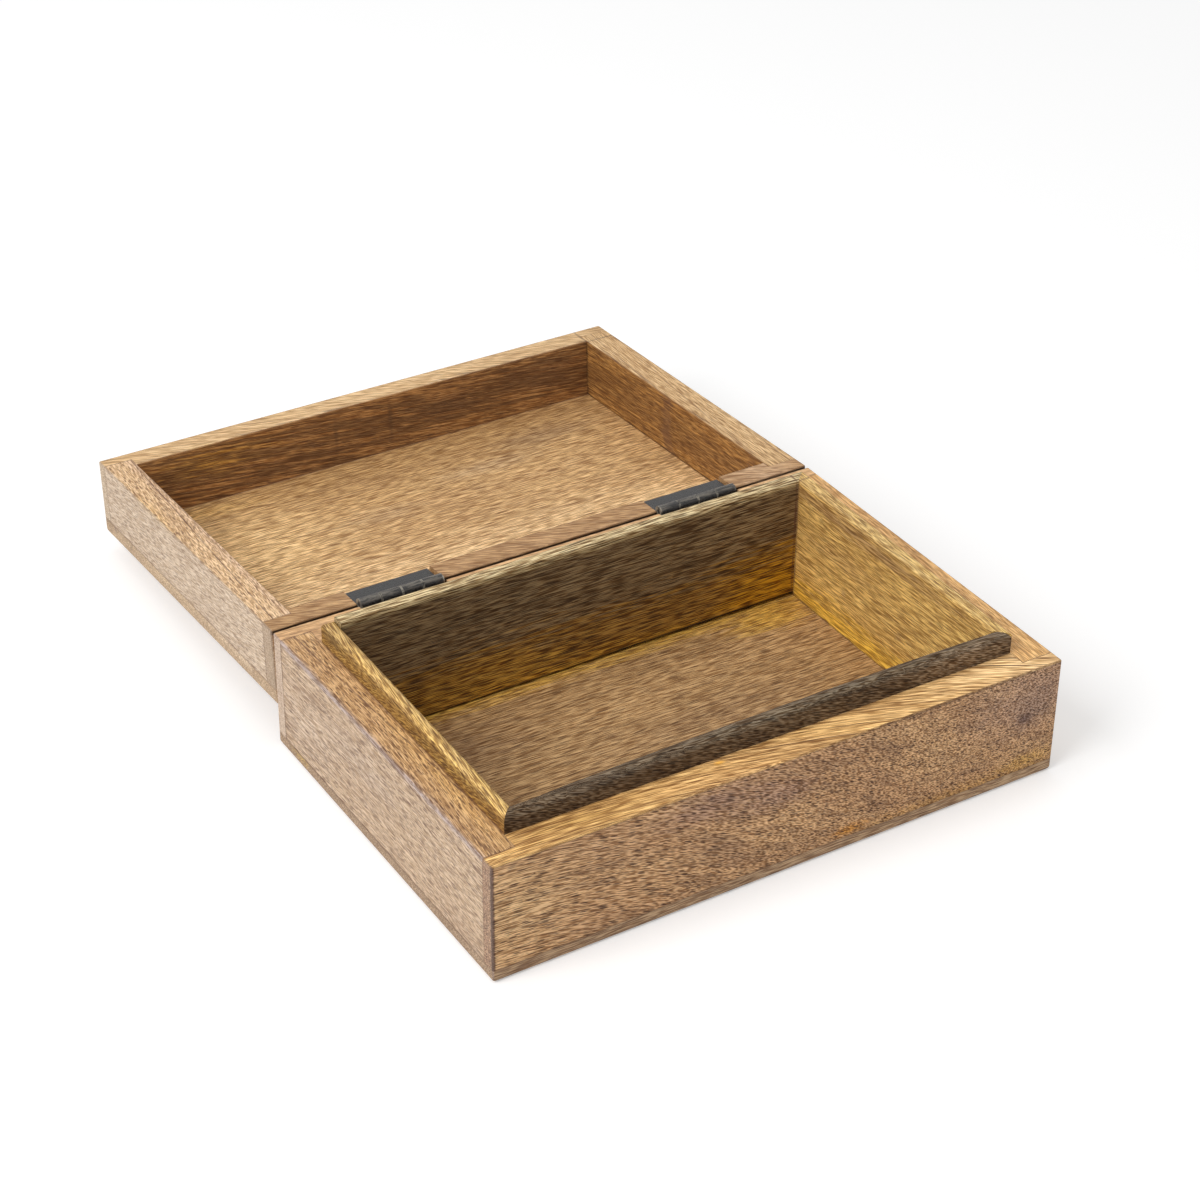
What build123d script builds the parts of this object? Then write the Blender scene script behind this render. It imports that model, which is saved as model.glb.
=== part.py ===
from build123d import *
import math
import os

# A hinged card box of solid wood, standing open: the base rests on the table and the lid is
# folded back a little past flat until its lower back edge stops against the base.
# X runs along the hinge, the front is at -Y, +Z is up. The origin is the centre of the
# underside of the bottom board. All sizes are millimetres.

# Outline shared by base and lid
length = 175.0
depth = 118.9
corner_round = 0.5
rim_ease = 0.3

# Base: four rabbeted walls standing on a bottom board, no two of quite the same thickness
base_wall_height = 32.2
base_front_wall = 9.8
base_back_wall = 10.9
base_left_wall = 9.2
base_right_wall = 10.0
base_tongue = 4.3
bottom_board = 4.0
bottom_round = 1.5

# Lid: four rabbeted walls under a top panel glued up from two boards, a touch less deep
lid_wall_height = 18.9
lid_hinge_wall = 8.4
lid_short = 0.7
lid_hinge_tongue = 5.4
lid_far_tongue = 4.2
lid_panel = 5.2
lid_panel_round = 1.6
panel_seam = 14.9

# Lining boards that stand inside the base and rise above its rim as a lip, mitred at three
# corners: the height of the lip's top at each corner and at the crown of its front
lining = 4.0
lip_back = 7.2
lip_finger_end = 6.4
lip_front_left = 5.4
lip_front_crown = 6.9
lip_front_right = 6.2
lip_soft_round = 1.7
lip_crisp_round = 0.6
foot_gap_left = 0.3
foot_gap_right = 1.2

# Clearances between lid and lip, and between the two rims when the box is shut
lip_side_clearance = 0.35
lip_swing_clearance = 0.75
rim_gap = 0.2

# The lid's stop: how far past flat it falls open, and the air left at the stop
past_flat = 3.0
stop_air = 0.03

# Butt hinges let into both rims
hinge_length = 25.8
hinge_inset = 39.1
barrel_radius = 1.7
leaf_thickness = 0.9
leaf_short = 0.2
pin_radius = 0.75
pin_fit = 0.02
pin_running = 0.05
pin_set_back = 0.1
pin_end_chamfer = 0.12
knuckle_gap = 0.16
knuckle_count = 4
roll_seam = 0.12
barrel_relief = 0.3
mortise_slack_left = 0.3
mortise_slack_right = 0.9

# Flat-headed nails through the leaves
nail_radius = 0.55
nail_head_radius = 1.2
nail_head = 0.4
nail_length = 6.5
nail_fit = 0.02
nail_edge = 3.4
nail_end = 6.2

# How far a cutting block runs past what it cuts, and how closely an edge is picked by its place
overshoot = 1.0
pick = 0.01

# Places worked out from the sizes above
base_rim = bottom_board + base_wall_height
lid_left_wall = base_left_wall - lip_side_clearance
lid_right_wall = base_right_wall - lip_side_clearance
lid_far_wall = base_front_wall - lip_swing_clearance - lid_short
lid_depth = depth - lid_short
lip_left_x = -length / 2 + base_left_wall
lip_right_x = length / 2 - base_right_wall
lip_front_y = -depth / 2 + base_front_wall
lip_back_y = depth / 2 - base_back_wall
lid_depth_below_pin = rim_gap / 2 + lid_wall_height + lid_panel
stop_angle = math.radians(past_flat)
stop_reach = (lid_depth_below_pin - lid_panel_round) * math.sin(stop_angle)
stop_curl = lid_panel_round * (1 - math.cos(stop_angle))
pin_behind = (stop_reach + stop_curl + stop_air) / (1 + math.cos(stop_angle))
pin_y = depth / 2 + pin_behind
pin_z = base_rim + rim_gap / 2
leaf_width = lid_hinge_wall + pin_behind - leaf_short
hinge_places = {"left": -length / 2 + hinge_inset, "right": length / 2 - hinge_inset}


def block(x0, x1, y0, y1, z0, z1):
    """A box given by its limits."""
    return Pos((x0 + x1) / 2, (y0 + y1) / 2, (z0 + z1) / 2) * Box(x1 - x0, y1 - y0, z1 - z0)


def rod(x0, x1, radius, y=0.0, z=0.0):
    """A round bar along X."""
    return Pos((x0 + x1) / 2, y, z) * Rot(0, 90, 0) * Cylinder(radius, x1 - x0)


def top_edges(solid, axis=Axis.Z, last=-1):
    """The edges round the highest face, or the lowest with last = 0."""
    return solid.faces().sort_by(axis)[last].edges()


def eased_ring(y0, y1, z0, z1, walls, inner_ease):
    """Four walls in one piece, with rounded corners and eased rims, before it is cut apart.

    walls gives the thickness of the left, right, near and far wall."""
    left, right, near, far = walls
    outer = block(-length / 2, length / 2, y0, y1, z0, z1)
    outer = fillet(outer.edges().filter_by(Axis.Z), corner_round)
    outer = fillet(top_edges(outer), rim_ease)
    inner = block(-length / 2 + left, length / 2 - right, y0 + near, y1 - far, z0, z1)
    ring = outer - inner
    if inner_ease > 0:
        at_rim = ring.edges().filter_by_position(Axis.Z, z1 - pick, z1 + pick)
        within_x0 = -length / 2 + left - pick
        within_x1 = length / 2 - right + pick
        within_y0 = y0 + near - pick
        within_y1 = y1 - far + pick
        inner_rim = [
            edge
            for edge in at_rim
            if within_x0 <= edge.center().X <= within_x1
            and within_y0 <= edge.center().Y <= within_y1
        ]
        ring = fillet(inner_rim, inner_ease)
    return ring


def rabbeted_walls(ring, y0, y1, z0, z1, walls, near_tongue, far_tongue):
    """Cut a ring into its four boards: the long walls carry rabbets that cover the side ends."""
    left, right, near, far = walls
    half = length / 2
    near_slab = block(-half, half, y0, y0 + near_tongue, z0, z1)
    near_slab += block(-half + left, half - right, y0, y0 + near, z0, z1)
    far_slab = block(-half, half, y1 - far_tongue, y1, z0, z1)
    far_slab += block(-half + left, half - right, y1 - far, y1, z0, z1)
    left_slab = block(-half, -half + left, y0 + near_tongue, y1 - far_tongue, z0, z1)
    right_slab = block(half - right, half, y0 + near_tongue, y1 - far_tongue, z0, z1)
    return ring & near_slab, ring & far_slab, ring & left_slab, ring & right_slab


def panel_board(y0, y1, z0, z1, edge_round):
    """A flat board with rounded corners whose lower edge is rounded over."""
    board = block(-length / 2, length / 2, y0, y1, z0, z1)
    board = fillet(board.edges().filter_by(Axis.Z), corner_round)
    return fillet(top_edges(board, last=0), edge_round)


def mortise(center_x, toward):
    """The recess for one leaf: a slot as wide as the leaf and a groove for the barrel.

    It is placed about the pin; toward is -1 for the base and +1 for the lid."""
    x0 = center_x - hinge_length / 2 - mortise_slack_left
    x1 = center_x + hinge_length / 2 + mortise_slack_right
    near = toward * pin_behind
    far = toward * (leaf_width + leaf_short)
    slot = block(x0, x1, min(near, far), max(near, far), -barrel_radius, barrel_radius)
    return slot + rod(x0, x1, barrel_radius + barrel_relief)


def nail_spots(center_x, toward):
    """Where the two nails of one leaf stand, about the pin."""
    reach = toward * (leaf_width - nail_edge)
    spread = hinge_length / 2 - nail_end
    return [(center_x - spread, reach), (center_x + spread, reach)]


def nail(x, y, growth=0.0):
    """A nail driven down with its head flush in the leaf; growth widens it into its hole."""
    head_top = leaf_thickness - barrel_radius
    head = Pos(x, y, head_top - nail_head / 2) * Cone(
        nail_radius + growth, nail_head_radius + growth, nail_head
    )
    shank_top = head_top - nail_head
    shank = Pos(x, y, shank_top - (nail_length + growth) / 2) * Cylinder(
        nail_radius + growth, nail_length + growth
    )
    return head + shank


def hinge_leaf(center_x, toward, own_knuckles):
    """One leaf: a plate with its share of rolled knuckles, drawn about the pin."""
    x0 = center_x - hinge_length / 2
    x1 = center_x + hinge_length / 2
    tip = toward * leaf_width
    plate_top = leaf_thickness - barrel_radius
    leaf = block(x0, x1, min(0, tip), max(0, tip), -barrel_radius, plate_top)
    step = hinge_length / knuckle_count
    for index in range(knuckle_count):
        k0 = x0 + index * step
        k1 = k0 + step
        if index in own_knuckles:
            start = k0 + (knuckle_gap / 2 if index > 0 else 0)
            end = k1 - (knuckle_gap / 2 if index < knuckle_count - 1 else 0)
            leaf += rod(start, end, barrel_radius)
        else:
            cut0 = k0 - (knuckle_gap / 2 if index > 0 else overshoot)
            cut1 = k1 + (knuckle_gap / 2 if index < knuckle_count - 1 else overshoot)
            reach = toward * (barrel_radius + barrel_relief)
            back = -toward * barrel_radius
            tall = barrel_radius + overshoot
            leaf -= block(cut0, cut1, min(reach, back), max(reach, back), -tall, tall)
    bore = pin_radius + (pin_fit if toward < 0 else pin_running)
    leaf -= rod(x0 - overshoot, x1 + overshoot, bore)
    seam_reach = toward * barrel_radius
    for index in own_knuckles:
        seam0 = x0 + index * step - (overshoot if index == 0 else 0)
        seam1 = x0 + (index + 1) * step + (overshoot if index == knuckle_count - 1 else 0)
        near_seam = min(0, seam_reach)
        far_seam = max(0, seam_reach)
        leaf -= block(seam0, seam1, near_seam, far_seam, plate_top, plate_top + roll_seam)
    for x, y in nail_spots(center_x, toward):
        leaf -= nail(x, y, nail_fit)
    return leaf


def hinge_pin(center_x):
    """The wire that the knuckles turn on, set back inside the barrel, its ends softened."""
    reach = hinge_length / 2 - pin_set_back
    pin = rod(center_x - reach, center_x + reach, pin_radius)
    return chamfer(pin.edges().filter_by(GeomType.CIRCLE), pin_end_chamfer)


def lip_board(run, start_top, end_top, foot_end=0.0, foot_start=0.0, crown_top=None):
    """A lining board's face: local x along the board, y up from the bottom board."""
    start = (0, base_wall_height + start_top)
    end = (run, base_wall_height + end_top)
    sides = Polyline(end, (run, foot_end), (0, foot_start), start)
    if crown_top is None:
        top = Line(start, end)
    else:
        top = ThreePointArc(start, (run / 2, base_wall_height + crown_top), end)
    return make_face([sides, top])


def mitred(board, corners):
    """Keep the part of a board that stands over a plan given by its corners."""
    plan = extrude(make_face(Polyline(*corners, close=True)), base_rim + base_wall_height)
    return board & plan


def lining_front():
    """Crowned along its top, which is rounded, and mitred at both ends."""
    run = lip_right_x - lip_left_x
    face = lip_board(run, lip_front_left, lip_front_right, crown_top=lip_front_crown)
    board = extrude(Plane.XZ * face, lining)
    board = fillet(top_edges(board).filter_by(GeomType.CIRCLE), lip_soft_round)
    inner_y = lip_front_y + lining
    board = Pos(lip_left_x, inner_y, bottom_board) * board
    inner_corners = [(lip_right_x - lining, inner_y), (lip_left_x + lining, inner_y)]
    return mitred(board, [(lip_left_x, lip_front_y), (lip_right_x, lip_front_y), *inner_corners])


def side_board(outer_x, front_top, back_top):
    """A side lining from the front mitre back to the back wall, not yet rounded or mitred."""
    face = lip_board(lip_back_y - lip_front_y, front_top, back_top)
    return Pos(outer_x, lip_front_y, bottom_board) * extrude(Plane.YZ * face, lining)


def lining_left():
    """Runs right back to the back wall, where its end is rounded like a fingertip."""
    board = side_board(lip_left_x, lip_front_left, lip_finger_end)
    board = fillet(top_edges(board).sort_by(Axis.Y)[1:], lip_soft_round)
    inner_x = lip_left_x + lining
    front_corners = [(lip_left_x, lip_front_y), (inner_x, lip_front_y + lining)]
    return mitred(board, [*front_corners, (inner_x, lip_back_y), (lip_left_x, lip_back_y)])


def lining_right():
    """Mitred at both ends, with crisper edges."""
    inner_x = lip_right_x - lining
    board = side_board(inner_x, lip_front_right, lip_back)
    board = fillet(top_edges(board).sort_by(Axis.Y)[1:3], lip_crisp_round)
    outer_corners = [(lip_right_x, lip_front_y), (lip_right_x, lip_back_y)]
    inner_corners = [(inner_x, lip_back_y - lining), (inner_x, lip_front_y + lining)]
    return mitred(board, outer_corners + inner_corners)


def lining_back():
    """Butted to the left lining, mitred to the right, its foot lifting off the floor."""
    start_x = lip_left_x + lining
    face = lip_board(lip_right_x - start_x, lip_back, lip_back, foot_gap_right, foot_gap_left)
    board = extrude(Plane.XZ * face, lining)
    board = fillet(top_edges(board).filter_by(Axis.X), lip_crisp_round)
    board = Pos(start_x, lip_back_y, bottom_board) * board
    inner_y = lip_back_y - lining
    inner_corners = [(start_x, inner_y), (lip_right_x - lining, inner_y)]
    return mitred(board, [(start_x, lip_back_y), *inner_corners, (lip_right_x, lip_back_y)])


def base_parts():
    """The base's boards, at rest on the table."""
    y0 = -depth / 2
    y1 = depth / 2
    walls = (base_left_wall, base_right_wall, base_front_wall, base_back_wall)
    ring = eased_ring(y0, y1, bottom_board, base_rim, walls, 0)
    front, back, left, right = rabbeted_walls(
        ring, y0, y1, bottom_board, base_rim, walls, base_tongue, base_tongue
    )
    at_pin = Pos(0, pin_y, pin_z)
    for center_x in hinge_places.values():
        back -= at_pin * mortise(center_x, -1)
        for x, y in nail_spots(center_x, -1):
            back -= at_pin * nail(x, y, nail_fit)
    return {
        "base_front_wall": front,
        "base_back_wall": back,
        "base_left_wall": left,
        "base_right_wall": right,
        "bottom_board": panel_board(y0, y1, 0, bottom_board, bottom_round),
        "lining_front": lining_front(),
        "lining_back": lining_back(),
        "lining_left": lining_left(),
        "lining_right": lining_right(),
    }


def lid_parts():
    """The lid's boards drawn lying open and flat about the pin, then let down to the stop."""
    y0 = pin_behind
    y1 = pin_behind + lid_depth
    rim = -rim_gap / 2
    floor = rim - lid_wall_height
    under = floor - lid_panel
    walls = (lid_left_wall, lid_right_wall, lid_hinge_wall, lid_far_wall)
    ring = eased_ring(y0, y1, floor, rim, walls, rim_ease)
    back, front, left, right = rabbeted_walls(
        ring, y0, y1, floor, rim, walls, lid_hinge_tongue, lid_far_tongue
    )
    for center_x in hinge_places.values():
        back -= mortise(center_x, 1)
        for x, y in nail_spots(center_x, 1):
            back -= nail(x, y, nail_fit)
    panel = panel_board(y0, y1, under, floor, lid_panel_round)
    seam_y = y0 + panel_seam
    strip_side = block(-length, length, y0 - overshoot, seam_y, under - overshoot, floor + overshoot)
    parts = {
        "lid_front_wall": front,
        "lid_back_wall": back,
        "lid_left_wall": left,
        "lid_right_wall": right,
        "lid_panel_strip": panel & strip_side,
        "lid_panel_board": panel - strip_side,
    }
    return {name: lid_place() * solid for name, solid in parts.items()}


def lid_place():
    """Turn about the pin, past flat to the stop."""
    return Pos(0, pin_y, pin_z) * Rot(-past_flat, 0, 0)


def hinge_parts():
    """Two butt hinges: a leaf in each rim, the pin, and the nails of each side as one group."""
    at_pin = Pos(0, pin_y, pin_z)
    parts = {}
    for side, center_x in hinge_places.items():
        parts[f"hinge_{side}_base_leaf"] = at_pin * hinge_leaf(center_x, -1, (0, 2))
        parts[f"hinge_{side}_lid_leaf"] = lid_place() * hinge_leaf(center_x, 1, (1, 3))
        parts[f"hinge_{side}_pin"] = at_pin * hinge_pin(center_x)
    base_nails = [at_pin * nail(x, y) for cx in hinge_places.values() for x, y in nail_spots(cx, -1)]
    lid_nails = [lid_place() * nail(x, y) for cx in hinge_places.values() for x, y in nail_spots(cx, 1)]
    parts["base_hinge_nails"] = Compound(children=base_nails)
    parts["lid_hinge_nails"] = Compound(children=lid_nails)
    return parts


os.makedirs("parts", exist_ok=True)
for name, solid in {**base_parts(), **lid_parts(), **hinge_parts()}.items():
    export_step(solid, f"parts/{name}.step")
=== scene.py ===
import math

import bpy
from bpy.props import FloatProperty, FloatVectorProperty, PointerProperty
from mathutils import Euler, Matrix, Vector

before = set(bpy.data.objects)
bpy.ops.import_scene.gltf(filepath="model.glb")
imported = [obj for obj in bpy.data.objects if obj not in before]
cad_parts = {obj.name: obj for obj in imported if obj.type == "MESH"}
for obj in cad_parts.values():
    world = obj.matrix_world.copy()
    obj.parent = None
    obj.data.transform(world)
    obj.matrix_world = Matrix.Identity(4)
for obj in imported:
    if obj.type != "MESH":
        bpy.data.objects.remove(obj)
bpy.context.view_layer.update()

bl_info = {
    "name": "Hinged card box",
    "version": (1, 0, 0),
    "blender": (4, 5, 0),
    "location": "3D View > Sidebar > Card Box",
    "description": "Gives the boards, the hinges and the studio of a hinged wooden card box their looks",
    "category": "Object",
}

MM = 0.001
PIN = Vector((0, 60.0579, 36.3)) * MM

# Reach, in mm, of a mark that runs on past the ends of its board
ALL = 900
X, Y, Z = (1, 0, 0), (0, 1, 0), (0, 0, 1)

# How fine each noise is, in cells per metre: along the fibres, then across them both ways
SWIRLS = (14, 40, 40)
CLOUDS = (9, 90, 90)
FINE_FIBRES = (200, 4200, 4200)
WIDE_FIBRES = (75, 2000, 2000)
LAYER_WAVES = (10, 90, 90)
LAYER_BREAKS = (20, 120, 120)
PORE_CROWDS = (25, 200, 200)
TORN_EDGES = (50, 1300, 1300)
LINE_SWAYS = (28, 28, 28)
LINE_SWELLS = (300, 300, 300)
LINE_BREAKS = (130, 130, 130)
EDGE_CHIPS = (300, 300, 300)
RING_BREAKS = (500, 700, 700)
RUBBED_AND_HIGHLIGHT_STREAKS = (190, 1500, 1500)
DUST = (1500, 2600, 2600)

# The wood's fibre lines: shares of the fine and the wide ones, their contrast, the darkest
# level, and the contrast of red, green and blue, as dark fibres are warmer than light ones
FINE_SHARE, WIDE_SHARE = 0.85, 0.15
FIBRE_CONTRAST = 2.8
DARKEST_FIBRE = 0.12
CHANNEL_CONTRASTS = (0.85, 1.05, 1.3)

# How much a board's clouds show, and the width of its darker arrises in mm
CLOUDINESS = 0.9
EDGE_WIDTH = 0.6

# Softness, in mm, of the inner limit of a side's skin
SKIN_BLUR = 0.15

# What the lamps point at and where the camera's view begins, in metres, the width of its sensor
# in millimetres, and the floor's roughness
BOX_MIDDLE = Vector((0, 0.03, 0.02))
NEAR_LIMIT = 0.01
SENSOR_WIDTH = 36.0
FLOOR_ROUGHNESS = 0.9

# Steps of the seed from one mark of a board to the next
PATCH_SEED_STEP = 1.7
LINE_SEED_STEP = 0.9

# How metallic the bright rings of the hinges are
RING_METAL = 0.6

# Strength of the bumps, and the height they stand for in metres
WOOD_BUMP = {"Strength": 0.7, "Distance": 0.0002}
LACQUER_BUMP = {"Strength": 0.8, "Distance": 0.0001}

# Tints of the marks in the boards
HONEY = (0.78, 0.46, 0.14)
ORANGE = (0.80, 0.37, 0.06)
MAUVE = (0.42, 0.25, 0.18)
UMBER = (0.30, 0.17, 0.11)
# Near black brown: knots, and painted shade at the foot of the lid's far wall
KNOT_AND_SHADE = (0.15, 0.08, 0.06)
AMBER = (0.35, 0.165, 0.018)
CREAM = (0.66, 0.48, 0.24)
LINE = (0.15, 0.07, 0.04)
# Near black: painted shade in the gaps between base and lid and under the back lining, and also the seams in the
# lid's inner corners
SEAM_AND_SHADE = (0.02, 0.01, 0.005)
# A pale colour laid thinly over some sides of the boards: a painted sheen, not a colour of the wood
PAINTED_SHEEN = (0.62, 0.47, 0.35)

# A board's looks where its own entry says nothing else, in mm. Slope, curve and twist bend the
# fibres away from the board's length. Flat lists sides, and the share of the bend out of the side
# that its skin loses. Calm is a side, the share of pores that it keeps, and its growth lines.
PLAIN_BOARD = dict(
    slope=(0, 0, 0), curve=(0, 0, 0), twist=(0, 0, 0), flat=(), skin=0.35, wander=1.5,
    bands=0.6, band_width=3, fibre=0.3, pore_length=2.6, pore_width=0.52, pores=0.8, pore_depth=0.75, fleck=0.3,
    growth=0.2, growth_spacing=4, growth_turn=(0, 0.8, 0.6), calm=None, edge_dark=0.35, gloss=0.35,
)

# What the two boards of the lid's panel have in common
PANEL_LOOKS = dict(
    faces=[("-x", (0.85, 0.95, 1.2), PAINTED_SHEEN, 0.3)],
    slope=(0, 0.01, 0.03), wander=0.8, bands=0.34, band_width=1.4, fibre=0.42, pore_length=7, pore_width=0.38,
    pores=0.95, pore_depth=0.75, fleck=0.55, growth=0.35, growth_spacing=3,
)
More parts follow.
